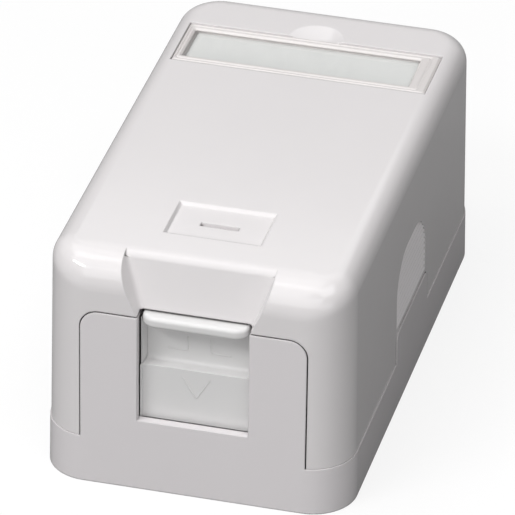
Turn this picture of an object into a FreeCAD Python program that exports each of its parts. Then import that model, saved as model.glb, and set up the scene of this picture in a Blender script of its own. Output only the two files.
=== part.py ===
import FreeCAD, Part
import math
import os

os.makedirs("parts", exist_ok=True)
V = FreeCAD.Vector

# ---- driving dimensions, in mm ------------------------------------------------------------
# X runs across the box, Y from the plug side at the front to the cable side, Z up.

# outer body
width = 41.4
length = 73.6
height = 33.6
corner_r = 6.0
draft_deg = 0.7
seam_z = 6.8
front_edge_r = 4.8
side_edge_r = 3.0
cover_inset = 0.15          # the cover stands this far inside the base all round
cover_wall = 1.8
base_wall = 1.8
floor_t = 1.5
running_gap = 0.15          # between mouldings that fit into each other
rim_h = 1.4                 # locating rim that stands up inside the cover
rim_t = 0.8
past = 1.0                  # cutters run this far past the faces they cut

# front panel of the base and the window in it
panel_w = 30.1
panel_top = 25.8
panel_corner_r = 2.4
panel_back = 1.3            # depth of its flat back face, on which the shutter runs
window_w = 14.9
sill_z = 10.4

# side tabs of the base
tab_y = (27.9, 45.2)        # depths from the front
tab_top = 11.3
tab_corner_r = 1.2
tab_t = 1.3

# scoop in the cover above the window
scoop_low_z = 26.45
scoop_low_depth = 2.0
scoop_top_depth = 4.1
scoop_top_w = 20.0
scoop_flare = 0.25          # how far each side leans out per mm towards the front
scoop_corner_r = 0.9
scoop_crease_r = 1.3        # rounds the scoop's floor into the top of the cover

# label pocket, icon recess and thumb notch in the top of the cover
label_w = 35.4
label_y = (53.4, 64.0)
label_depth = 1.2
label_gap = 0.1
card_t = 0.2
card_margin = 1.4
window_bevel = 0.25
pan_floor_t = 1.1
thumb_r = 3.7
thumb_depth = 0.55
icon_w = 13.1
icon_y = (9.6, 17.8)
icon_depth = 0.45
icon_lean = 0.35            # how far its walls lean out over its depth
icon_slot_w = 5.2
icon_slot_t = 0.85
icon_slot_y = 13.5
icon_slot_depth = 1.1

# ribbed grips on the sides of the cover
grip_y = (28.0, 44.2)
grip_z = (12.1, 22.0)
grip_corner_r = 6.0
grip_ribs = 11
grip_depth = 0.4
grip_fall = 0.72            # share of a rib's pitch over which it sinks

# cable entry at the back, and the tie bridge on the floor
entry_w = 10.0
entry_z = (2.6, 11.0)
bridge_w = 7.0
bridge_len = 5.0
bridge_h = 4.2
bridge_t = 1.4
bridge_y = 55.0

# floor screws
screw_x = 14.2
screw_y = (12.0, 58.0)
screw_r = 2.0
boss_r = 3.3
boss_h = 1.2

# shutter and its guides
block_depth = panel_back + running_gap
block_face = 1.9            # depth of its flat front; its edges slope forward to block_depth
block_run = 0.2
block_top = 18.15
ledge_r = 0.6               # hollow rounding from the block's top up to the plate
block_low = 10.1
plate_depth = 3.7
plate_t = 1.2
plate_gap = 0.1             # between the shutter's plate and the window's sides
cheek_depth = 1.95          # the cheeks beside the plate come forward to this depth
cheek_run = 0.35
cheek_tip_t = 0.15
lip_depth = 0.35
lip_t = 1.55
lip_gap = 0.3               # above the lip, under the scoop's low edge
lip_side_gap = 0.3
lip_corner_r = 2.0
lip_edge_r = 0.55
wing_w = 1.8                # how far the wings reach past the guide columns' inner faces
wing_low = 16.5
column_w = 3.1
column_top = 25.4
guide_rail_t = 1.15

# shutter springs
spring_in = 1.15            # from the guide columns' inner faces to the springs' axes
spring_r = 0.75
spring_wire_r = 0.2
spring_turns = 7
spring_chords = 10          # straight chords in one turn
spring_well_r = 1.15

# keystone jack
jack_w = 14.5
jack_side_gap = 0.2         # between the jack and the guide columns
jack_h = 16.2
jack_z = 10.6
jack_set_back = 0.7         # from the shutter's back to the jack
jack_front_len = 9.4
jack_len = 16.5
jack_seat_t = 1.6
jack_arm_t = 1.6
jack_hinge_t = 1.4
jack_step = 0.8             # the jack's tail is this much lower than its head
seat_past = 1.5             # the seat runs this far behind the head
seat_rib_in = 1.4
seat_wall_share = 0.6
port_w = 11.9
port_z = (18.0, 24.8)
port_depth = 12.5
notch_w = 6.2
notch_top = 26.2
contact_count = 8
contact_pitch = 1.02
contact_w = 0.45
contact_t = 0.3
contact_rise = 2.2          # how far the free ends stand above the port's floor
contact_bend_in = 2.6
contact_tip_in = 3.0
board_t = 1.4
board_margin = 0.6
idc_core = 3.4
idc_len = 10.4
idc_slots = 4
idc_pitch = 3.1
idc_slot_w = 1.6
idc_row_h = 5.0
idc_margin = 0.6
blade_t = 0.4
blade_len = 6.0
blade_root = 1.6
blade_slit_w = 0.36
blade_gap = 0.05
cap_wall = 0.9
cap_plate_t = 1.5
cap_skirt = 5.6
cap_hole_r = 2.6
nib_w = 1.0

# ---- values worked out from them ----------------------------------------------------------
slope = math.tan(math.radians(draft_deg))
front = -length / 2
lip_top = scoop_low_z - lip_gap
lip_z = lip_top - lip_t
plate_back = plate_depth + plate_t
jack_front = plate_back + jack_set_back
plate_w = window_w - 2 * plate_gap
scoop_low_w = window_w - plate_gap
column_in = max(window_w, jack_w + 2 * jack_side_gap) / 2 + running_gap
column_out = column_in + column_w
wing_reach = column_in + wing_w
spring_x = column_in + spring_in
top = height


def at(depth):
    """Y of a place that lies this far behind the front face."""
    return front + depth


# ---- small helpers ------------------------------------------------------------------------
def box(x0, x1, y0, y1, z0, z1):
    return Part.makeBox(x1 - x0, y1 - y0, z1 - z0, V(x0, y0, z0))


def wide_box(w, depth0, depth1, z0, z1):
    """A box centred on the middle plane, placed by depth from the front."""
    return box(-w / 2, w / 2, at(depth0), at(depth1), z0, z1)


def fuse(shapes):
    return shapes[0].multiFuse(shapes[1:]).removeSplitter()


def mirrored(shape):
    return shape.mirror(V(0, 0, 0), V(1, 0, 0))


def prism(points, direction):
    wire = Part.makePolygon(points + points[:1])
    return Part.Face(wire).extrude(direction)


def rounded_rectangle(x0, x1, y0, y1, r, z):
    """Closed wire with four quarter-circle corners."""
    k = r * math.sqrt(0.5)
    corners = [(x1 - r, y1 - r, 1, 1), (x0 + r, y1 - r, -1, 1),
               (x0 + r, y0 + r, -1, -1), (x1 - r, y0 + r, 1, -1)]
    edges = []
    for i, (cx, cy, sx, sy) in enumerate(corners):
        ahead = V(cx + r * sx, cy, z)
        side = V(cx, cy + r * sy, z)
        begin, end = (ahead, side) if i % 2 == 0 else (side, ahead)
        edges.append(Part.Arc(begin, V(cx + k * sx, cy + k * sy, z), end).toShape())
    joined = []
    for i, edge in enumerate(edges):
        following = edges[(i + 1) % 4]
        joined.append(edge)
        joined.append(Part.makeLine(edge.valueAt(edge.LastParameter),
                                    following.valueAt(following.FirstParameter)))
    return Part.Wire(joined)


def block_between(low, high):
    """Solid with flat faces between two quads whose corners run the same way round."""
    quads = [low[::-1], high]
    quads += [[low[i - 1], low[i], high[i], high[i - 1]] for i in range(4)]
    shell = Part.makeShell([Part.Face(Part.makePolygon(q + q[:1])) for q in quads])
    shell.sewShape()
    solid = Part.makeSolid(shell)
    if solid.Volume < 0:
        solid.reverse()
    return solid


def drafted_body(inset, z0, z1):
    """The outer form, drawn in by `inset`, leaning in with height by the draft."""
    quads = []
    for z in (z0, z1):
        lean = inset + slope * z
        x = width / 2 - lean
        y = -front - lean
        quads.append([V(-x, -y, z), V(x, -y, z), V(x, y, z), V(-x, y, z)])
    solid = block_between(*quads)
    upright = [e for e in solid.Edges if e.BoundBox.ZLength > (z1 - z0) / 2]
    return solid.makeFillet(max(corner_r - inset, 0.6), upright)


def round_edges(solid, radii_of):
    """Fillet each edge for which `radii_of` gives its radii at the two ends."""
    doc = FreeCAD.newDocument("rounding")
    base = doc.addObject("Part::Feature", "Base")
    base.Shape = solid
    fillet = doc.addObject("Part::Fillet", "Rounded")
    fillet.Base = base
    chosen = []
    for number, edge in enumerate(solid.Edges, 1):
        radii = radii_of(edge)
        if radii:
            chosen.append((number, radii[0], radii[1]))
    fillet.Edges = chosen
    doc.recompute()
    result = fillet.Shape.copy()
    FreeCAD.closeDocument(doc.Name)
    return result.Solids[0]


def rounded_body(inset, z0, z1, front_r, side_r):
    """The outer form with a soft top edge: one radius along the front, one elsewhere."""
    def radii_of(edge):
        ends = [edge.valueAt(edge.FirstParameter), edge.valueAt(edge.LastParameter)]
        if min(p.z for p in ends) < z1 - 0.01:
            return None
        front_line = front + inset + slope * z1 + 0.01
        return tuple(front_r if p.y < front_line else side_r for p in ends)
    return round_edges(drafted_body(inset, z0, z1), radii_of)


# ---- zones that split the outer form between base and cover -------------------------------
def panel_zone(grow, y0, y1):
    """Upright slab with the outline of the front panel, from the floor up."""
    wire = rounded_rectangle(-panel_w / 2 - grow, panel_w / 2 + grow, -panel_top,
                             panel_top + grow, panel_corner_r + grow, 0)
    wire.rotate(V(0, 0, 0), V(1, 0, 0), 90)
    wire.translate(V(0, y1, 0))
    slab = Part.Face(wire).extrude(V(0, y0 - y1, 0))
    return slab.common(box(-width, width, y0, y1, 0, height))


def tab_zone(grow, x0, x1):
    """Upright slab with the outline of a side tab, from the floor up."""
    wire = rounded_rectangle(-at(tab_y[1]) - grow, -at(tab_y[0]) + grow, -tab_top,
                             tab_top + grow, tab_corner_r + grow, 0)
    wire.rotate(V(0, 0, 0), V(1, 0, 0), 90)
    wire.rotate(V(0, 0, 0), V(0, 0, 1), -90)
    wire.translate(V(x0, 0, 0))
    slab = Part.Face(wire).extrude(V(x1 - x0, 0, 0))
    return slab.common(box(x0, x1, front, -front, 0, height))


def both_sides(make):
    right = make()
    return [right, mirrored(right)]


# ---- base ---------------------------------------------------------------------------------
def floor_and_walls():
    tray = drafted_body(0, 0, seam_z)
    hollow = drafted_body(base_wall, 0, seam_z + past).common(
        box(-width, width, front, -front, floor_t, seam_z + 2 * past))
    return tray.cut(hollow)


def locating_rim():
    """Thin wall that stands up inside the cover, behind the front corners."""
    outer_inset = cover_inset + cover_wall + running_gap
    inner = drafted_body(outer_inset + rim_t, 0, seam_z + rim_h)
    foot = drafted_body(base_wall / 2, 0, seam_z).cut(inner)
    fence = drafted_body(outer_inset, 0, seam_z + rim_h).cut(inner)
    behind_corners = box(-width, width, at(corner_r + past), -front, seam_z - rim_h, height)
    return foot.fuse(fence).common(behind_corners)


def front_panel():
    panel = drafted_body(0, 0, panel_top + past).common(panel_zone(0, front - past, at(panel_back)))
    window = wide_box(window_w, -past, panel_back + past, sill_z, panel_top + past)
    return panel.cut(window)


def side_tab():
    zone = tab_zone(0, width / 4, width)
    skin = drafted_body(0, 0, tab_top + past).cut(drafted_body(tab_t, 0, tab_top + past))
    return skin.common(zone)


def guide_column():
    """Column behind the panel, with the groove for the wing and the spring's well."""
    rear = plate_back + running_gap + guide_rail_t
    column = box(column_in, column_out, at(panel_back), at(rear), floor_t, column_top)
    groove = box(column_in - past, wing_reach + running_gap, at(plate_depth - running_gap),
                 at(plate_back + running_gap), floor_t, column_top + past)
    mid = at((plate_depth + plate_back) / 2)
    well = Part.makeCylinder(spring_well_r, wing_low - floor_t, V(spring_x, mid, floor_t))
    return column.cut(groove).cut(well)


def jack_seat():
    """Side wall and floor rib that hold the jack at its height."""
    inner = jack_w / 2 + running_gap
    begin = plate_back + running_gap + guide_rail_t
    end = jack_front + jack_front_len + seat_past
    wall = box(inner, inner + jack_seat_t, at(begin), at(end), floor_t,
               jack_z + jack_h * seat_wall_share)
    rib_x = jack_w / 2 - seat_rib_in
    rib = box(rib_x - jack_seat_t, rib_x, at(begin), at(end), floor_t, jack_z)
    stop = box(rib_x - jack_seat_t, inner + jack_seat_t, at(end), at(end + jack_seat_t),
               floor_t, jack_z)
    return wall.multiFuse([rib, stop])


def screw_bosses(r, z0, z1):
    return [Part.makeCylinder(r, z1 - z0, V(sx * screw_x, at(y), z0))
            for sx in (-1, 1) for y in screw_y]


def tie_bridge():
    """Low bridge on the floor that a cable tie loops through."""
    y0 = bridge_y - bridge_len / 2
    block = wide_box(bridge_w, y0, y0 + bridge_len, floor_t, floor_t + bridge_h)
    tunnel = wide_box(bridge_w - 2 * bridge_t, y0 - past, y0 + bridge_len + past, floor_t,
                      floor_t + bridge_h - bridge_t)
    return block.cut(tunnel)


def entry_cut():
    """Round-topped way through the back wall."""
    r = entry_w / 2
    middle = entry_z[1] - r
    wall_zone = length - cover_inset - cover_wall - running_gap - 2 * rim_t
    slab = wide_box(entry_w, wall_zone, length + past, entry_z[0], middle)
    arch = Part.makeCylinder(r, length + past - wall_zone, V(0, at(wall_zone), middle), V(0, 1, 0))
    return slab.fuse(arch)


def make_base():
    shapes = [floor_and_walls(), locating_rim(), front_panel(), tie_bridge()]
    for make in (side_tab, guide_column, jack_seat):
        shapes += both_sides(make)
    shapes += screw_bosses(boss_r, floor_t, floor_t + boss_h)
    solid = fuse(shapes)
    cuts = screw_bosses(screw_r, -past, floor_t + boss_h + past)
    cuts.append(wide_box(2 * column_in, panel_back, plate_depth, floor_t, panel_top))
    for cut in cuts:
        solid = solid.cut(cut)
    return solid.cut(entry_cut())


# ---- cover --------------------------------------------------------------------------------
def scoop_section(depth_forward, grow):
    """Corners of the scoop's floor, moved forward and widened by the flare."""
    def half(z):
        share = (z - scoop_low_z) / (top - scoop_low_z)
        return (scoop_low_w + (scoop_top_w - scoop_low_w) * share) / 2

    def depth(z):
        share = (z - scoop_low_z) / (top - scoop_low_z)
        return scoop_low_depth + (scoop_top_depth - scoop_low_depth) * share
    flare = scoop_flare * depth_forward + grow
    points = []
    low, high = scoop_low_z - past, top + past
    for z, side in ((low, -1), (low, 1), (high, 1), (high, -1)):
        points.append(V(side * (half(z) + flare), at(depth(z) - depth_forward), z))
    return points


def scoop_cutter():
    cutter = block_between(scoop_section(0, 0), scoop_section(corner_r, 0))

    def radii_of(edge):
        ends = [edge.valueAt(edge.FirstParameter), edge.valueAt(edge.LastParameter)]
        upright = abs(ends[0].z - ends[1].z) > (top - scoop_low_z) / 2
        inner = min(p.y for p in ends) > at(0)
        return (scoop_corner_r, scoop_corner_r) if upright and inner else None
    return round_edges(cutter, radii_of)


def crease_cutter():
    """Rounds the edge between the scoop's floor and the top."""
    r = scoop_crease_r
    back = scoop_top_depth - scoop_low_depth
    rise = top - scoop_low_z
    run = math.hypot(back, rise)
    tangent = r * math.tan(math.atan2(rise, back) / 2)
    half = scoop_top_w / 2
    behind = scoop_top_depth + tangent
    low = V(-half, at(scoop_top_depth - tangent * back / run), top - tangent * rise / run)
    high = V(-half, at(behind), top)
    to_corner = math.hypot(tangent, r)
    mid = V(-half, at(behind - tangent * r / to_corner), top - r + r * r / to_corner)
    over = V(-half, at(behind), top + past)
    ahead = V(-half, at(scoop_low_depth), top + past)
    edges = [Part.Arc(low, mid, high).toShape(), Part.makeLine(high, over),
             Part.makeLine(over, ahead), Part.makeLine(ahead, low)]
    return Part.Face(Part.Wire(edges)).extrude(V(scoop_top_w, 0, 0))


def scoop_backing():
    """The cover's wall behind and beside the scoop."""
    block = block_between(scoop_section(-cover_wall, cover_wall), scoop_section(corner_r, cover_wall))
    return block.common(box(-width, width, front, -front, scoop_low_z, top))


def grip_cutter():
    """Sawtooth grooves inside a round-topped outline, for the +X side."""
    pitch = (grip_z[1] - grip_z[0]) / grip_ribs
    face = width / 2 - cover_inset

    def surface(z):
        return face - slope * z
    points = [V(surface(grip_z[0]) + past, 0, grip_z[0])]
    for i in range(grip_ribs):
        low = grip_z[0] + i * pitch
        points.append(V(surface(low) + 0.02, 0, low))
        points.append(V(surface(low) - grip_depth, 0, low + grip_fall * pitch))
    points.append(V(surface(grip_z[1]) + 0.02, 0, grip_z[1]))
    points.append(V(surface(grip_z[1]) + past, 0, grip_z[1]))
    for p in points:
        p.y = at(grip_y[0])
    grooves = prism(points, V(0, grip_y[1] - grip_y[0], 0))
    wire = rounded_rectangle(-at(grip_y[1]), -at(grip_y[0]), 2 * grip_z[0] - grip_z[1],
                             grip_z[1], grip_corner_r, 0)
    wire.rotate(V(0, 0, 0), V(1, 0, 0), 90)
    wire.rotate(V(0, 0, 0), V(0, 0, 1), -90)
    wire.translate(V(width / 4, 0, 0))
    return grooves.common(Part.Face(wire).extrude(V(width / 2, 0, 0)))


def label_pocket():
    return wide_box(label_w, label_y[0], label_y[1], top - label_depth, top + past)


def card_pocket():
    return wide_box(label_w - 2 * card_margin, label_y[0] + card_margin, label_y[1] - card_margin,
                    top - label_depth - card_t, top)


def label_pan():
    """Extra thickness under the label pocket."""
    margin = cover_wall / 2
    return wide_box(label_w + 2 * margin, label_y[0] - margin, label_y[1] + margin,
                    top - label_depth - card_t - pan_floor_t, top - cover_wall)


def thumb_notch():
    ball_r = (thumb_r ** 2 + thumb_depth ** 2) / (2 * thumb_depth)
    ball = Part.makeSphere(ball_r, V(0, at(label_y[1]), top - thumb_depth + ball_r))
    return ball.common(wide_box(width, label_y[1] - thumb_r, label_y[1] + 2 * thumb_r,
                                top - thumb_depth - past, top + past))


def icon_recess():
    """Shallow recess whose walls lean out, with a slot in its floor."""
    quads = []
    for z in (top - icon_depth, top + past):
        lean = (z - top) / icon_depth * icon_lean
        half = icon_w / 2 + lean
        y0 = at(icon_y[0] - lean)
        y1 = at(icon_y[1] + lean)
        quads.append([V(-half, y0, z), V(half, y0, z), V(half, y1, z), V(-half, y1, z)])
    half = icon_slot_t / 2
    slot = wide_box(icon_slot_w, icon_slot_y - half, icon_slot_y + half, top - icon_slot_depth,
                    top + past)
    return block_between(*quads).fuse(slot)


def make_cover():
    skin = rounded_body(cover_inset, 0, top, front_edge_r, side_edge_r)
    inner_r = side_edge_r - cover_wall
    hollow = rounded_body(cover_inset + cover_wall, 0, top - cover_wall, inner_r, inner_r)
    solid = fuse([skin.cut(hollow), label_pan(), scoop_backing().common(skin)])
    solid = solid.common(box(-width, width, front, -front, seam_z, height))
    window = wide_box(window_w + running_gap, -past, scoop_low_depth + cover_wall + past, 0,
                      scoop_low_z)
    cuts = [panel_zone(running_gap, front - past, at(panel_back + 2 * past)), window, scoop_cutter(),
            crease_cutter(), label_pocket(), card_pocket(), thumb_notch(), icon_recess(), entry_cut()]
    cuts += both_sides(lambda: tab_zone(running_gap, width / 4, width))
    cuts += both_sides(grip_cutter)
    for cut in cuts:
        solid = solid.cut(cut)
    return solid


def make_label_card():
    gap = label_gap
    card = wide_box(label_w - 2 * card_margin - 2 * gap, label_y[0] + card_margin + gap,
                    label_y[1] - card_margin - gap, top - label_depth - card_t, top - label_depth)
    return card


def make_label_window():
    """Clear plate that lies in the pocket, with a bevelled top edge."""
    gap = label_gap
    plate = wide_box(label_w - 2 * gap, label_y[0] + gap, label_y[1] - gap, top - label_depth, top)
    rim = [e for e in plate.Edges if e.BoundBox.ZMin > top - 0.01]
    return plate.makeChamfer(window_bevel, rim)


# ---- shutter ------------------------------------------------------------------------------
def shutter_lip():
    """Finger lip with rounded front corners and edges."""
    half = window_w / 2 - lip_side_gap
    r = lip_corner_r
    y0 = at(lip_depth)
    y1 = at(plate_back)
    k = r * (1 - math.sqrt(0.5))
    left = Part.Arc(V(-half, y0 + r, lip_z), V(-half + k, y0 + k, lip_z), V(-half + r, y0, lip_z))
    right = Part.Arc(V(half - r, y0, lip_z), V(half - k, y0 + k, lip_z), V(half, y0 + r, lip_z))
    edges = [left.toShape(), Part.makeLine(V(-half + r, y0, lip_z), V(half - r, y0, lip_z)),
             right.toShape(), Part.makeLine(V(half, y0 + r, lip_z), V(half, y1, lip_z)),
             Part.makeLine(V(half, y1, lip_z), V(-half, y1, lip_z)),
             Part.makeLine(V(-half, y1, lip_z), V(-half, y0 + r, lip_z))]
    slab = Part.Face(Part.Wire(edges)).extrude(V(0, 0, lip_t))
    rims = [e for e in slab.Edges if e.BoundBox.ZLength < 0.01 and e.BoundBox.YMax < y1 - 0.1]
    return slab.makeFillet(lip_edge_r, rims)


def shutter_side():
    """Cheek that comes forward beside the plate, and the wing in the guide groove."""
    half = plate_w / 2
    inner = half - cheek_run
    outline = [V(half, at(plate_back), block_low), V(half, at(cheek_depth), block_low),
               V(half - cheek_tip_t, at(cheek_depth), block_low),
               V(inner, at(plate_depth), block_low), V(inner, at(plate_back), block_low)]
    cheek = prism(outline, V(0, 0, lip_z + lip_edge_r - block_low))
    wing = box(inner, wing_reach, at(plate_depth), at(plate_back), wing_low, lip_z)
    return cheek.fuse(wing)


def shutter_block():
    """Thick low end, hollow behind, whose face slopes forward at both edges."""
    half = plate_w / 2
    inner = half - block_run
    outline = [V(half, at(plate_back), block_low), V(half, at(block_depth), block_low),
               V(inner, at(block_face), block_low), V(-inner, at(block_face), block_low),
               V(-half, at(block_depth), block_low), V(-half, at(plate_back), block_low)]
    pocket = wide_box(plate_w - 2 * plate_t, block_face + plate_t, plate_back + past,
                      block_low - past, block_top - plate_t)
    return prism(outline, V(0, 0, block_top - block_low)).cut(pocket)


def shutter_ledge():
    """Hollow rounding between the block's top and the plate."""
    half = plate_w / 2 - cheek_tip_t
    r = ledge_r
    k = r * (1 - math.sqrt(0.5))
    begin = V(-half, at(plate_depth - r), block_top)
    end = V(-half, at(plate_depth), block_top + r)
    middle = V(-half, at(plate_depth - k), block_top + k)
    behind = V(-half, at(plate_back), block_top + r)
    foot = V(-half, at(plate_back), block_top)
    edges = [Part.Arc(begin, middle, end).toShape(), Part.makeLine(end, behind),
             Part.makeLine(behind, foot), Part.makeLine(foot, begin)]
    return Part.Face(Part.Wire(edges)).extrude(V(2 * half, 0, 0))


def make_shutter():
    plate = wide_box(plate_w, plate_depth, plate_back, block_top - plate_t, lip_top - lip_edge_r)
    shapes = [shutter_block(), plate, shutter_ledge(), shutter_lip()]
    shapes += both_sides(shutter_side)
    return fuse(shapes)


def make_spring():
    """Coil spring under the +X wing, from the floor to the wing, drawn in short chords."""
    half = spring_wire_r
    rise = wing_low - floor_t - 2 * half
    chords = spring_turns * spring_chords
    path = []
    for i in range(chords + 1):
        turn = 2 * math.pi * i / spring_chords
        path.append(V(spring_r * math.cos(turn), spring_r * math.sin(turn), rise * i / chords))
    corners = [V(spring_r + a * half, path[0].y, b * half)
               for a, b in ((-1, -1), (1, -1), (1, 1), (-1, 1))]
    section = Part.makePolygon(corners + corners[:1])
    coil = Part.makePolygon(path).makePipeShell([section], True, False, 1)
    coil.translate(V(spring_x, at((plate_depth + plate_back) / 2), floor_t + half))
    return coil


# ---- keystone jack ------------------------------------------------------------------------
def make_jack_housing():
    back = jack_front + jack_len
    head = wide_box(jack_w, jack_front, jack_front + jack_front_len, jack_z, jack_z + jack_h)
    tail = wide_box(jack_w - jack_step, jack_front, back, jack_z + 2 * jack_step,
                    jack_z + jack_h - jack_step)
    port = wide_box(port_w, jack_front - past, jack_front + port_depth, port_z[0], port_z[1])
    notch = wide_box(notch_w, jack_front - past, jack_front + port_depth, port_z[1] - past, notch_top)
    arm_gap = wide_box(jack_w + past, jack_front + jack_hinge_t, back + past, jack_z + jack_arm_t,
                       port_z[0] - jack_arm_t)
    return fuse([head, tail]).cut(port).cut(notch).cut(arm_gap)


def make_contact(number):
    """Spring wire that starts at the port's back, turns at its mouth and slopes up."""
    x = (number - (contact_count - 1) / 2) * contact_pitch - contact_w / 2
    t = contact_t
    low = port_z[0]
    rear = at(jack_front + port_depth)
    bend = at(jack_front + contact_bend_in)
    tip_y = rear - contact_tip_in
    tip_z = low + contact_rise
    points = [V(x, rear, low), V(x, rear, low + t), V(x, bend + t, low + t),
              V(x, bend + 2 * t, low + 2 * t), V(x, tip_y, tip_z - t), V(x, tip_y, tip_z),
              V(x, bend + t, low + 3 * t), V(x, bend, low + 2 * t), V(x, bend, low)]
    return prism(points, V(contact_w, 0, 0))


def make_board():
    start = jack_front + jack_len
    low = jack_z + 2 * jack_step + board_margin
    high = jack_z + jack_h - jack_step - board_margin
    return wide_box(jack_w - 2 * board_margin, start, start + board_t, low, high)


def idc_rows():
    """Low and high ends in Z of the two rows of wire slots."""
    low = jack_z + idc_margin
    high = jack_z + jack_h - idc_margin
    return [(low, low + idc_row_h), (high - idc_row_h, high)]


def idc_start():
    return jack_front + jack_len + board_t


def make_idc_block():
    start = idc_start()
    rows = idc_rows()
    half = (idc_slots * idc_pitch + idc_pitch - idc_slot_w) / 2
    core = box(-half, half, at(start), at(start + idc_core), rows[0][0], rows[1][1])
    shapes = [core]
    for z0, z1 in rows:
        for i in range(idc_slots + 1):
            x = (i - idc_slots / 2) * idc_pitch
            w = (idc_pitch - idc_slot_w) / 2
            shapes.append(box(x - w, x + w, at(start), at(start + idc_len), z0, z1))
    return fuse(shapes)


def make_idc_blade(row, number):
    """Forked blade that stands in one wire slot."""
    start = idc_start() + idc_core
    z0, z1 = idc_rows()[row]
    x = (number - (idc_slots - 1) / 2) * idc_pitch
    w = idc_slot_w / 2 - blade_gap
    mid = (z0 + z1) / 2
    blade = box(x - w, x + w, at(start), at(start + blade_len), mid - blade_t / 2, mid + blade_t / 2)
    half = blade_slit_w / 2
    slit = box(x - half, x + half, at(start + blade_root), at(start + blade_len + past), z0, z1)
    return blade.cut(slit)


def make_wire_cap():
    """Cap pushed on from behind, with a hole for the cable."""
    rows = idc_rows()
    z0 = rows[0][0] - running_gap
    z1 = rows[1][1] + running_gap
    half = (idc_slots * idc_pitch + idc_pitch - idc_slot_w) / 2
    end = idc_start() + idc_len
    plate = box(-half, half, at(end), at(end + cap_plate_t), z0 - cap_wall, z1 + cap_wall)
    upper = box(-half, half, at(end - cap_skirt), at(end), z1, z1 + cap_wall)
    lower = box(-half, half, at(end - cap_skirt), at(end), z0 - cap_wall, z0)
    nib = idc_len - idc_core - blade_len - running_gap
    middle = (z0 + z1) / 2
    hole = Part.makeCylinder(cap_hole_r, cap_plate_t + 2 * past, V(0, at(end - past), middle), V(0, 1, 0))
    shapes = [plate, upper, lower]
    for row_z0, row_z1 in rows:
        for i in range(idc_slots):
            x = (i - (idc_slots - 1) / 2) * idc_pitch
            shapes.append(box(x - nib_w / 2, x + nib_w / 2, at(end - nib), at(end),
                              row_z0 + idc_margin, row_z1 - idc_margin))
    return fuse(shapes).cut(hole)


# ---- write every piece --------------------------------------------------------------------
def all_pieces():
    pieces = {"base": make_base(), "cover": make_cover(), "label_card": make_label_card(),
              "label_window": make_label_window(), "shutter": make_shutter()}
    spring = make_spring()
    pieces["spring_right"] = spring
    pieces["spring_left"] = mirrored(spring)
    pieces["jack_housing"] = make_jack_housing()
    for i in range(contact_count):
        pieces["contact_%d" % (i + 1)] = make_contact(i)
    pieces["jack_board"] = make_board()
    pieces["idc_block"] = make_idc_block()
    for row, name in enumerate(("lower", "upper")):
        for i in range(idc_slots):
            pieces["idc_blade_%s_%d" % (name, i + 1)] = make_idc_blade(row, i)
    pieces["wire_cap"] = make_wire_cap()
    return pieces


for node, shape in all_pieces().items():
    shape.exportStep("parts/%s.step" % node)
    print(node, len(shape.Solids), shape.isValid(), round(shape.Volume, 1))
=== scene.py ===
import math

import bpy
import numpy as np
from mathutils import Matrix, Vector


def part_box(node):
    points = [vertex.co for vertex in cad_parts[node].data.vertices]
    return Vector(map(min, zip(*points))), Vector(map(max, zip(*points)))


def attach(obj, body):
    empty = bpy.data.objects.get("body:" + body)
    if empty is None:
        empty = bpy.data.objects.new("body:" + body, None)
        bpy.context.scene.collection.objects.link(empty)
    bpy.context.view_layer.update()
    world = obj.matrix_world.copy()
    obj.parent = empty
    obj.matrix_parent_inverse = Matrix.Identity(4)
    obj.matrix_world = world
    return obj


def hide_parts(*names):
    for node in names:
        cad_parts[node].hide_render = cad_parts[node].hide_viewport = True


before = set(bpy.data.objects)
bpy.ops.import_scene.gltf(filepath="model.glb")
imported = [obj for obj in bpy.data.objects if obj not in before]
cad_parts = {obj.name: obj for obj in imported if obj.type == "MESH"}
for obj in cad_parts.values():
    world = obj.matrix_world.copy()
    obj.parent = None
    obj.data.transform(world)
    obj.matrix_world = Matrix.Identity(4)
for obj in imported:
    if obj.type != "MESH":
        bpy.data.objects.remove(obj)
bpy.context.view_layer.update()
mm = 0.001
print("frame loaded:", len(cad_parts), "nodes")


# unit vector from the box towards a place round it, with azimuth a from the front and elevation e:
# (sin a cos e, -cos a cos e, sin e)
def towards(azimuth, elevation):
    a, e = math.radians(azimuth), math.radians(elevation)
    return Vector((math.sin(a) * math.cos(e), -math.cos(a) * math.cos(e), math.sin(e)))


# the camera: eye in metres, angles in degrees, lens and sensor in mm, nearest and farthest in metres
cameraSet = {"eye": (0.16918, -0.66491, 0.43406), "azimuth": 14.35, "elevation": 31.43, "roll": 0.645,
             "lens": 420.0, "sensor": 36.0, "near": 0.01, "far": 20.0}


# the level right-hand side is (cos a, sin a, 0); right is that side turned by the roll about the
# view's back axis, and up is back cross right
def aimCamera(s):
    back = towards(s["azimuth"], s["elevation"])
    a, r = math.radians(s["azimuth"]), math.radians(s["roll"])
    levelRight = Vector((math.cos(a), math.sin(a), 0))
    levelUp = back.cross(levelRight)
    right = levelRight * math.cos(r) + levelUp * math.sin(r)
    up = back.cross(right)
    data = bpy.data.cameras.new("camera")
    data.lens, data.sensor_width = s["lens"], s["sensor"]
    data.clip_start, data.clip_end = s["near"], s["far"]
    camera = bpy.data.objects.new("camera", data)
    bpy.context.collection.objects.link(camera)
    turn = Matrix((right, up, back)).transposed().to_4x4()
    camera.matrix_world = Matrix.Translation(s["eye"]) @ turn
    bpy.context.scene.camera = camera


aimCamera(cameraSet)


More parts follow.
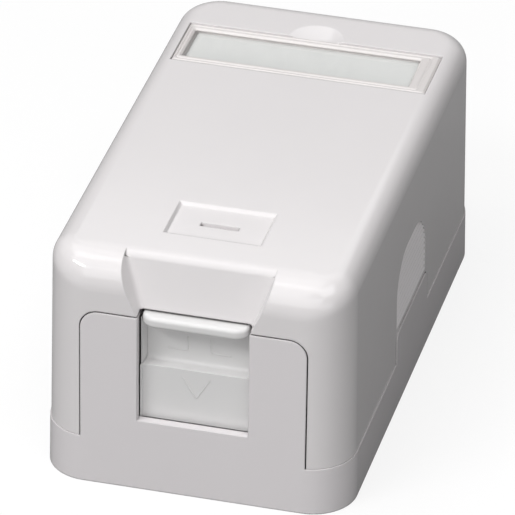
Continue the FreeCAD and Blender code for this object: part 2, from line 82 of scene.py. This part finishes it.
# a wrapped socket, so that shader maths can be written as an expression
class Value:
    def __init__(self, shader, socket):
        self.shader, self.socket = shader, socket

    def maths(self, operation, *others):
        inputs = {i: v for i, v in enumerate((self,) + others)}
        return self.shader.node("Math", {"operation": operation}, inputs)[0]

    def __add__(self, other): return self.maths("ADD", other)
    def __mul__(self, other): return self.maths("MULTIPLY", other)
    def __sub__(self, other): return self.maths("SUBTRACT", other)
    def __rsub__(self, other): return self.shader.constant(other).maths("SUBTRACT", self)

    # kept between 0 and 1: the smaller of 1 and the larger of 0 and itself
    def clamp(self): return self.maths("MAXIMUM", 0.0).maths("MINIMUM", 1.0)

    # a steeper run from 0 to 1: itself x gain - start, clamped
    def ramp(self, gain, start): return (self * gain - start).clamp()


# a material under construction
class Shader:
    def __init__(self, name):
        self.material = bpy.data.materials.new(name)
        self.material.use_nodes = True
        self.tree = self.material.node_tree
        self.tree.nodes.clear()

    # any node: its type, its settings, then the values or links of its sockets; gives its outputs
    def node(self, kind, settings=None, inputs=None):
        made = self.tree.nodes.new("ShaderNode" + kind)
        for key, value in (settings or {}).items():
            setattr(made, key, value)
        for key, value in (inputs or {}).items():
            socket = made.inputs[key]
            if isinstance(value, Value):
                self.tree.links.new(value.socket, socket)
            else:
                socket.default_value = value
        return [Value(self, s) for s in made.outputs]

    # a plain number as a socket: the number plus 0
    def constant(self, number):
        return self.node("Math", {"operation": "ADD"}, {0: number, 1: 0.0})[0]

    # the object coordinates
    def place(self):
        return self.node("TexCoord")[3]

    # noise read at the object coordinates times a stretch
    def noise(self, scale, detail=2.0, rough=0.5, stretch=(1, 1, 1)):
        where = self.node("Mapping", {}, {"Vector": self.place(), "Scale": stretch})[0]
        return self.node("TexNoise", {}, {"Vector": where, "Scale": scale, "Detail": detail,
                                          "Roughness": rough})[0]

    # 1 inside a box given by its limits along X, Y and Z, on both sides of the middle plane, else 0
    def zone(self, limits):
        axes = self.node("SeparateXYZ", {}, {0: self.place()})
        axes[0] = axes[0].maths("ABSOLUTE")
        inside = 1.0
        for axis, (low, high) in zip(axes, limits):
            inside = axis.maths("GREATER_THAN", low) * axis.maths("LESS_THAN", high) * inside
        return inside

    # colour mix: first x (1 - factor) + second x factor, by the Mix node's sockets for colours
    def blend(self, factor, first, second):
        return self.node("Mix", {"data_type": "RGBA"}, {0: factor, 6: first, 7: second})[2]

    # the surface tilted by the slope of a height in metres times a depth
    def bump(self, height, depth, normal=None):
        base = {} if normal is None else {"Normal": normal}
        return self.node("Bump", {}, dict(base, Height=height, Distance=depth, Strength=1.0))[0]

    # a principled surface with these inputs, as the material's output
    def finish(self, inputs):
        surface = self.node("BsdfPrincipled", {}, inputs)[0]
        self.node("OutputMaterial", {}, {"Surface": surface})
        return self.material


# a colour: one level times a tint
def grey(level, tint):
    return tuple(level * t for t in tint) + (1.0,)


# moulded plastic: a glossy skin with a faint ripple, softened edges and a slow drift in the colour,
# from dark to full by a ramp of noise; painted shade darkens the colour where two mouldings stand
# close together, by a ramp of 1 - openness; roughness is a level plus two noises x spread
def mouldedPlastic(name, s):
    shader = Shader(name)
    flow = shader.noise(*s["flow"])
    fine = shader.noise(*s["grain"])
    ripple = shader.noise(*s["ripple"])
    dark = grey(1 - s["shade"], s["colour"][:3])
    colour = shader.blend(flow.ramp(*s["drift"]), dark, s["colour"])
    # painted shade: the colour darkens where ambient occlusion finds another surface close by, in seams
    # and gaps
    openness = shader.node("AmbientOcclusion", {"samples": s["rays"]},
                           {"Distance": s["seamShadeReach"]})[1]
    paintedSeamShade = (1 - openness).ramp(*s["seamShadeRamp"])
    if "noSeamShade" in s:         # the label's pocket is shut in, so it gets no painted seam shade
        paintedSeamShade = paintedSeamShade * (1 - shader.zone(s["noSeamShade"]))
    colour = shader.blend(paintedSeamShade, colour, s["seamShadeColour"])
    height = ripple * s["rippleHeight"] + fine * s["grainHeight"]
    soft = shader.node("Bevel", {"samples": s["rays"]}, {"Radius": s["edge"]})[0]
    if "crispAndLitRibs" in s:         # ribs stay crisp, and their faces that look up are painted paler: painted light
        inside = shader.zone(s["crispAndLitRibs"])
        geometry = shader.node("NewGeometry")
        shadingNormal, flatNormal = geometry[1], geometry[3]
        rise = shader.node("SeparateXYZ", {}, {0: flatNormal})[2]
        soft = shader.blend(inside, soft, shadingNormal)
        paintedLightFaces = inside * rise.maths("GREATER_THAN", s["paintedLightRise"])
        colour = shader.blend(paintedLightFaces, colour, s["ribPaintedLightColour"])
    bump = shader.bump(height, 1.0, soft)
    rough = (fine * s["roughSpread"] + flow * s["roughSpread"] + s["roughness"]).clamp()
    return shader.finish({"Base Color": colour, "Roughness": rough, "Normal": bump, "IOR": s["ior"],
                          "Specular IOR Level": s["specular"]})


# a noise is given as its scale, detail, roughness and stretch, and a ramp as its gain and start
# the seam colour below is painted shade, laid into seams and gaps between mouldings
whiteGloss = {"colour": grey(0.82, (1.0, 0.968, 0.973)), "shade": 0.02,
              "flow": (60.0, 3.0, 0.55, (1, 0.6, 1)), "drift": (1.6, 0.3),
              "grain": (2600.0, 2.0, 0.6), "grainHeight": 0.0006 * mm,
              "ripple": (320.0, 1.0), "rippleHeight": 0.004 * mm, "edge": 0.3 * mm, "rays": 6,
              "roughness": 0.06, "roughSpread": 0.03, "ior": 1.5, "specular": 0.5,
              "seamShadeReach": 0.5 * mm, "seamShadeRamp": (2.4, 0.9), "seamShadeColour": (0.03, 0.026, 0.024, 1)}

# limits in metres along X, Y and Z of the ribbed grips and of the label's pocket
grips = ((0.0195, 0.03), (-0.0089, 0.0075), (0.0120, 0.0221))
pocket = ((-1.0, 0.03), (0.014, 0.04), (0.026, 0.04))
plastics = {
    # on the cover, rib faces that look up take a paler colour: painted light
    "cover": dict(whiteGloss, crispAndLitRibs=grips, paintedLightRise=0.3, ribPaintedLightColour=grey(0.95, (1.0, 0.968, 0.978)),
                  noSeamShade=pocket),
    "base": dict(whiteGloss, colour=grey(0.81, (1.0, 0.962, 0.975)), edge=0.25 * mm),
    "shutter": dict(whiteGloss, colour=grey(0.82, (1.0, 0.992, 0.988)), roughness=0.2, edge=0.15 * mm),
    "jack": dict(whiteGloss, colour=grey(0.76, (1.0, 0.99, 0.97)), roughness=0.3, edge=0.15 * mm),
    "cap": dict(whiteGloss, colour=grey(0.70, (1.0, 1.0, 1.0)), roughness=0.42, edge=0.2 * mm),
    "frame": dict(whiteGloss, colour=(0.80, 0.765, 0.755, 1), shade=0.07, roughness=0.10, edge=0.06 * mm,
                  seamShadeRamp=(0.0, 0.9))}


# paper: fibres take the colour from dark to light by a ramp of noise, and raise the surface
def paperCard(s):
    shader = Shader("labelPaper")
    fibre = shader.noise(*s["fibre"])
    colour = shader.blend(fibre.ramp(*s["ramp"]), s["dark"], s["light"])
    return shader.finish({"Base Color": colour, "Roughness": s["roughness"],
                          "Normal": shader.bump(fibre, s["depth"])})


# clear moulding: polished, with faint draw lines; rays to a lamp or off the card take a plain clear
# surface, by the larger of the two ray kinds, so that the card under it is lit once and in full
def clearMoulding(s):
    shader = Shader("clearMoulding")
    bump = shader.bump(shader.noise(*s["line"]), s["depth"])
    plastic = shader.node("BsdfPrincipled", {}, {"Base Color": s["colour"], "Roughness": s["roughness"],
                                                 "Normal": bump, "IOR": s["ior"],
                                                 "Transmission Weight": 1.0})[0]
    through = shader.node("BsdfTransparent", {}, {"Color": s["colour"]})[0]
    path = shader.node("LightPath")
    shadowRay, diffuseRay = path[1], path[2]
    mixed = shader.node("MixShader", {}, {0: shadowRay.maths("MAXIMUM", diffuseRay), 1: plastic,
                                          2: through})[0]
    shader.node("OutputMaterial", {}, {"Surface": mixed})
    return shader.material


# drawn or plated metal: lines along its length take the colour from dark to light by a ramp of
# noise; roughness is a level plus the noise x spread
def metal(name, s):
    shader = Shader(name)
    line = shader.noise(*s["line"])
    colour = shader.blend(line.ramp(*s["ramp"]), s["dark"], s["light"])
    rough = (line * s["roughSpread"] + s["roughness"]).clamp()
    return shader.finish({"Base Color": colour, "Roughness": rough, "Metallic": 1.0,
                          "Normal": shader.bump(line, s["depth"])})


# laminate: green resist over a woven board, whose cloth is one wave along X times one along Z
def laminate(s):
    shader = Shader("boardLaminate")
    placed = {"Vector": shader.place(), "Scale": s["weave"]}
    weave, cross = (shader.node("TexWave", {"bands_direction": axis}, placed)[1] for axis in "XZ")
    cloth = weave * cross
    colour = shader.blend(cloth, s["dark"], s["light"])
    return shader.finish({"Base Color": colour, "Roughness": s["roughness"], "Coat Weight": s["coat"],
                          "Normal": shader.bump(cloth, s["depth"])})


finishes = {name: mouldedPlastic(name + "Plastic", s) for name, s in plastics.items()}
finishes["paper"] = paperCard({"fibre": (900.0, 4.0, 0.7, (1, 0.35, 1)), "ramp": (2.0, 0.5),
                               "depth": 0.01 * mm, "roughness": 0.85, "dark": (0.82, 0.83, 0.83, 1),
                               "light": (0.87, 0.88, 0.875, 1)})
finishes["clear"] = clearMoulding({"line": (500.0, 2.0, 0.5, (0.15, 1, 1)), "depth": 0.002 * mm,
                                   "roughness": 0.03, "ior": 1.49, "colour": (0.99, 0.99, 0.985, 1)})
metalLook = {"ramp": (1.8, 0.4)}
finishes["gold"] = metal("goldPlate", dict(
    metalLook, line=(3000.0, 3.0, 0.6, (1, 0.1, 1)), depth=0.002 * mm, roughness=0.18, roughSpread=0.12,
    dark=(0.72, 0.50, 0.18, 1), light=(0.86, 0.64, 0.28, 1)))
finishes["tin"] = metal("tinPlate", dict(
    metalLook, line=(2200.0, 3.0, 0.6, (1, 0.15, 1)), depth=0.003 * mm, roughness=0.28, roughSpread=0.15,
    dark=(0.55, 0.55, 0.56, 1), light=(0.75, 0.75, 0.76, 1)))
finishes["steel"] = metal("springSteel", dict(
    metalLook, line=(4000.0, 3.0, 0.6, (1, 1, 0.3)), depth=0.002 * mm, roughness=0.25, roughSpread=0.15,
    dark=(0.42, 0.42, 0.44, 1), light=(0.62, 0.62, 0.64, 1)))
finishes["board"] = laminate({"weave": 900.0, "depth": 0.004 * mm, "roughness": 0.35, "coat": 0.3,
                              "dark": (0.01, 0.09, 0.035, 1), "light": (0.015, 0.14, 0.05, 1)})
print("finishes made:", len(finishes))

nodeFinish = {"base": "base", "cover": "cover", "label_card": "paper", "label_window": "clear",
              "shutter": "shutter", "jack_housing": "jack", "idc_block": "jack", "jack_board": "board",
              "wire_cap": "cap", "spring_left": "steel", "spring_right": "steel"}
groupFinish = {"contact": "gold", "idc_blade": "tin"}
for name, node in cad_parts.items():
    kind = nodeFinish.get(name) or next(k for group, k in groupFinish.items() if name.startswith(group))
    node.data.materials.clear()
    node.data.materials.append(finishes[kind])


# a new piece from whole arrays of corners and faces; it rides on its body and stands for CAD nodes
def makePiece(name, corners, faces, finish, body, slot, stands=(), smooth=False):
    mesh = bpy.data.meshes.new(name)
    mesh.from_pydata(corners.tolist(), [], faces)
    mesh.update()
    mesh.polygons.foreach_set("use_smooth", np.full(len(mesh.polygons), smooth))
    mesh.materials.append(finishes[finish])
    piece = bpy.data.objects.new(name, mesh)
    bpy.context.collection.objects.link(piece)
    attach(piece, body)
    if stands:
        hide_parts(*stands)


# four-cornered faces over a grid of rows x columns points, each face r, c to r + 1, c + 1, where point
# r, c is number r x columns + c; columns wrap round, and rows too if asked
def gridFaces(rows, columns, wrapRows=False):
    r = np.arange(rows if wrapRows else rows - 1)[:, None]
    c = np.arange(columns)[None, :]
    r2, c2 = (r + 1) % rows, (c + 1) % columns
    quads = np.stack([r * columns + c, r * columns + c2, r2 * columns + c2, r2 * columns + c], axis=-1)
    return quads.reshape(-1, 4).tolist()


# the two flat faces that shut a stack of rows: the first row turned over, and the last row
def endFaces(rows, columns):
    return [list(range(columns))[::-1], list(range(columns * (rows - 1), columns * rows))]


# rounded rectangle: points along its outline, anticlockwise seen from above; each corner is a quarter
# circle, its centre plus r (cos a, sin a), of the same number of points in every ring, so that rings
# of different size join up one to one
def ringPoints(x0, x1, y0, y1, r, z, perCorner):
    turn = np.linspace(0, np.pi / 2, perCorner)
    angle = np.concatenate([turn + k * np.pi / 2 for k in range(4)])
    centreX = np.repeat([x1 - r, x0 + r, x0 + r, x1 - r], perCorner)
    centreY = np.repeat([y1 - r, y1 - r, y0 + r, y0 + r], perCorner)
    return np.stack([centreX + r * np.cos(angle), centreY + r * np.sin(angle),
                     np.full(4 * perCorner, z)], axis=1)


# rounded-rectangle rings joined one to the next; each ring is its insets from a box (left, right,
# near, far), its corner radius and its height; a shut stack gets end faces, and any other closes on
# itself and makes a frame
def ringStack(box, rings, perCorner, shut):
    x0, x1, y0, y1 = box
    corners = np.concatenate([ringPoints(x0 + left, x1 - right, y0 + near, y1 - far, r, z, perCorner)
                              for left, right, near, far, r, z in rings])
    faces = gridFaces(len(rings), 4 * perCorner, wrapRows=not shut)
    return corners, faces + (endFaces(len(rings), 4 * perCorner) if shut else [])


# the clear label window: a flat pane over the card, and on it a frame with bevelled edges and a
# shallow groove, wider at the end where the card is drawn out. Every height is a step down from the
# top of the CAD window or up from its underside; field is the frame's width left, right, near and
# far, and groove gives shares of that width
labelWindow = {"gap": 0.03 * mm, "under": 0.05 * mm, "frameTop": 0.02 * mm, "frame": 0.38 * mm,
               "field": (1.05 * mm, 2.55 * mm, 1.50 * mm, 1.45 * mm),
               "bevel": 0.22 * mm, "round": 0.07 * mm,
               "corner": 0.4 * mm, "fieldCorner": 0.3 * mm, "perCorner": 6,
               "groove": (0.36, 0.47, 0.58), "grooveDepth": 0.11 * mm}


def makeLabelWindow(s):
    low, high = (np.array(v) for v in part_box("label_window"))
    box = (low[0] + s["gap"], high[0] - s["gap"], low[1] + s["gap"], high[1] - s["gap"])
    top = high[2] - s["frameTop"]
    middle = top - s["frame"]
    b, c, e = s["bevel"], s["corner"], s["round"]
    plain = (0, 0, 0, 0)
    pane = ringStack(box, [(*plain, c, low[2] + s["under"]), (*plain, c, middle - e),
                           (e, e, e, e, c, middle)], s["perCorner"], True)
    makePiece("labelWindow", *pane, "clear", "label_window", "label_clear", ["label_window"])
    field = np.array(s["field"])
    inner = s["fieldCorner"]
    steps = [(*plain, c, middle + e / 2), (*plain, c, top - b), (e, e, e, e, c, top - b + e),
             (b, b, b, b, c, top - e / 2), (b + e, b + e, b + e, b + e, c, top)]
    drops = (0, s["grooveDepth"], 0)
    steps += [(*(field * share), c, top - drop) for share, drop in zip(s["groove"], drops)]
    steps += [(*(field - b - e), inner, top), (*(field - b), inner, top - e / 2),
              (*(field - e), inner, top - b + e), (*field, inner, top - b),
              (*field, inner, middle + e / 2)]
    makePiece("labelFrame", *ringStack(box, steps, s["perCorner"], False), "frame", "label_window",
              "label_clear")


makeLabelWindow(labelWindow)
print("label window made")


# a profile carried along a path: each ring is the path's point plus the profile's two numbers along
# two directions that stand square to the path there; both ends are closed with a face
def sweep(path, across, upward, profile):
    rings = (path[:, None, :] + profile[None, :, :1] * across[:, None, :]
             + profile[None, :, 1:] * upward[:, None, :])
    faces = gridFaces(len(path), len(profile)) + endFaces(len(path), len(profile))
    return rings.reshape(-1, 3), faces


# directions along a path: its gradient at each point, at length 1
def directions(path):
    along = np.gradient(path, axis=0)
    return along / np.linalg.norm(along, axis=1)[:, None]


# oval outline, squared a little: half the width times cos a and half the height times sin a, each
# raised to a power below 1 and kept in its sign
def ovalProfile(w, h, count, power):
    a = np.linspace(0, 2 * np.pi, count, endpoint=False)
    wave = np.stack([np.cos(a), np.sin(a)], axis=1)
    return np.array([w, h]) / 2 * np.sign(wave) * np.abs(wave) ** power


# contact wires: from the back of the port along its floor, round a hairpin at the mouth and up a
# slope to a free end. The hairpin is an arc, its centre plus r (cos a, sin a), that turns from straight
# down to square on the slope, so that both runs meet it without a kink; each run goes from its
# beginning to its end by equal shares
contactWire = {"bend": 0.55 * mm, "inset": 0.01 * mm, "arcPoints": 14, "runPoints": 7,
               "tipDrop": 0.10 * mm, "tipIn": 3.0 * mm, "thinness": 0.62, "around": 12, "squaring": 0.7}


def makeContactWire(node, s):
    low, high = (np.array(v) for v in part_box(node))
    wide = high[0] - low[0] - 2 * s["inset"]
    thick = wide * s["thinness"]
    r = s["bend"]
    floorZ = low[2] + thick / 2 + s["inset"]
    centre = np.array([low[1] + thick / 2 + r + s["inset"], floorZ + r])
    tip = np.array([high[1] - s["tipIn"], high[2] - thick / 2 - s["tipDrop"]])
    rise = math.atan2(tip[1] - centre[1] - r, tip[0] - centre[0])
    turn = np.linspace(-math.pi / 2, -1.5 * math.pi + rise, s["arcPoints"])
    arc = centre + r * np.stack([np.cos(turn), np.sin(turn)], axis=1)
    share = np.linspace(0, 1, s["runPoints"])[:, None]
    begin = np.array([high[1] - s["inset"], floorZ])
    flat = begin + (arc[0] - begin) * share
    slope = arc[-1] + (tip - arc[-1]) * share
    line = np.concatenate([flat[:-1], arc, slope[1:]])
    path = np.column_stack([np.full(len(line), (low[0] + high[0]) / 2), line])
    across = np.tile([1.0, 0, 0], (len(path), 1))
    profile = ovalProfile(wide, thick, s["around"], s["squaring"])
    corners, faces = sweep(path, across, np.cross(directions(path), across), profile)
    makePiece(node.replace("contact", "contactWire"), corners, faces, "gold", "base", "contact_gold",
              [node], smooth=True)


for number in range(1, 9):
    makeContactWire("contact_%d" % number, contactWire)
print("contact wires made")

# marks on the shutter: low ridges whose section is a flat arch. Each path has three points across and
# up the face, in mm from the middle and from the underside, and stands behind the front by its depth;
# the corner is a curve (1 - t)^2 start + 2 t (1 - t) corner + t^2 end. The arch gives shares of half
# the width and of the height
shutterMarks = {
    "leftCorner": {"points": [(-4.2, 20.0), (-1.55, 20.0), (-1.55, 22.1)], "depth": 3.7},
    "rightCorner": {"points": [(4.2, 20.0), (1.55, 20.0), (1.55, 22.1)], "depth": 3.7},
    "pushArrow": {"points": [(-1.85, 17.0), (0.0, 13.9), (1.85, 17.0)], "depth": 1.9}}
ridgeSet = {"width": 0.24, "height": 0.05, "corner": 0.3, "points": 7, "sunk": 0.03,
            "arch": ((0.75, 0.7), (0.3, 1.0), (-0.3, 1.0), (-0.75, 0.7))}


def makeMark(name, mark, s):
    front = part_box("base")[0][1]
    points = np.array(mark["points"])
    before, after = points[1] - points[0], points[2] - points[1]
    start = points[1] - before / np.linalg.norm(before) * s["corner"]
    end = points[1] + after / np.linalg.norm(after) * s["corner"]
    share = np.linspace(0, 1, s["points"])[:, None]
    curve = (1 - share) ** 2 * start + 2 * share * (1 - share) * points[1] + share ** 2 * end
    line = np.concatenate([points[:1], curve, points[2:]])
    depth = np.full(len(line), front + mark["depth"] * mm)
    path = np.column_stack([line[:, 0] * mm, depth, line[:, 1] * mm])
    outward = np.tile([0, -1.0, 0], (len(path), 1))
    half = s["width"] / 2
    arch = [(half * wide, s["height"] * high) for wide, high in s["arch"]]
    profile = np.array([(-half, -s["sunk"]), (half, -s["sunk"])] + arch) * mm
    corners, faces = sweep(path, np.cross(outward, directions(path)), outward, profile)
    makePiece(name, corners, faces, "shutter", "shutter", "shutter_plastic")


for name, mark in shutterMarks.items():
    makeMark(name, mark, ridgeSet)
print("shutter marks made")

# the floor: grey to the light that bounces off it, and to the camera white paint mixed with a white
# glow by the share lift, so that the object's shadow still shows
floorSet = {"half": 3.0, "dark": (0.29, 0.29, 0.29, 1), "light": (0.31, 0.31, 0.31, 1),
            "grain": (40.0, 2.0), "seen": (1.0, 1.0, 1.0, 1), "lift": 0.82, "glow": 1.0}


def makeFloor(s):
    h = s["half"]
    mesh = bpy.data.meshes.new("floor")
    mesh.from_pydata([(-h, -h, 0), (h, -h, 0), (h, h, 0), (-h, h, 0)], [], [(0, 1, 2, 3)])
    floor = bpy.data.objects.new("floor", mesh)
    bpy.context.collection.objects.link(floor)
    shader = Shader("floorPaint")
    cameraRay = shader.node("LightPath")[0]
    grain = shader.noise(*s["grain"])
    colour = shader.blend(cameraRay, shader.blend(grain, s["dark"], s["light"]), s["seen"])
    paint = shader.node("BsdfDiffuse", {}, {"Color": colour})[0]
    white = shader.node("Emission", {}, {"Color": s["seen"], "Strength": s["glow"]})[0]
    mixed = shader.node("MixShader", {}, {0: cameraRay * s["lift"], 1: paint, 2: white})[0]
    shader.node("OutputMaterial", {}, {"Surface": mixed})
    mesh.materials.append(shader.material)


makeFloor(floorSet)

# lamps: for each its place (degrees round the box, degrees above it, metres away from it), its size
# in metres and its power in watts; every lamp is turned to a point lampHeight above the floor
lampHeight = 0.017
lampSet = {
    "key": (-38.0, 60.0, 1.3, (0.8, 0.8), 3.5),
    "keyCore": (-38.0, 42.0, 1.3, (0.5, 0.09), 4.3),
    "front": (0.0, 30.0, 1.3, (1.0, 0.7), 3.9),
    "right": (45.0, 62.0, 1.3, (0.7, 0.7), 4.2),
    "low": (38.0, 13.0, 1.4, (0.7, 0.5), 1.5),
    "rear": (180.0, 50.0, 1.3, (1.0, 0.8), 3.2),
    "left": (-90.0, 74.0, 1.3, (0.9, 0.9), 4.4)}


def addLamp(name, azimuth, elevation, away, size, power):
    back = towards(azimuth, elevation)
    data = bpy.data.lights.new(name, "AREA")
    data.shape, data.energy = "RECTANGLE", power
    data.size, data.size_y = size
    lamp = bpy.data.objects.new(name, data)
    bpy.context.collection.objects.link(lamp)
    lamp.location = back * away + Vector((0, 0, lampHeight))
    lamp.rotation_mode = "QUATERNION"
    lamp.rotation_quaternion = back.to_track_quat("Z", "Y")


# the sky: its light to the scene, white to the camera
skySet = {"light": (0.01, 0.01, 0.0104, 1), "seen": (1, 1, 1, 1)}


def makeSky(s):
    world = bpy.data.worlds.new("studio")
    world.use_nodes = True
    tree = world.node_tree
    sky = tree.nodes["Background"]
    path = tree.nodes.new("ShaderNodeLightPath")
    mix = tree.nodes.new("ShaderNodeMix")
    mix.data_type = "RGBA"
    mix.inputs[6].default_value = s["light"]
    mix.inputs[7].default_value = s["seen"]
    tree.links.new(path.outputs[0], mix.inputs[0])
    tree.links.new(mix.outputs[2], sky.inputs[0])
    bpy.context.scene.world = world


for name, lamp in lampSet.items():
    addLamp(name, *lamp)
makeSky(skySet)
bpy.context.scene.view_settings.view_transform = "Standard"
print("stage and light made")
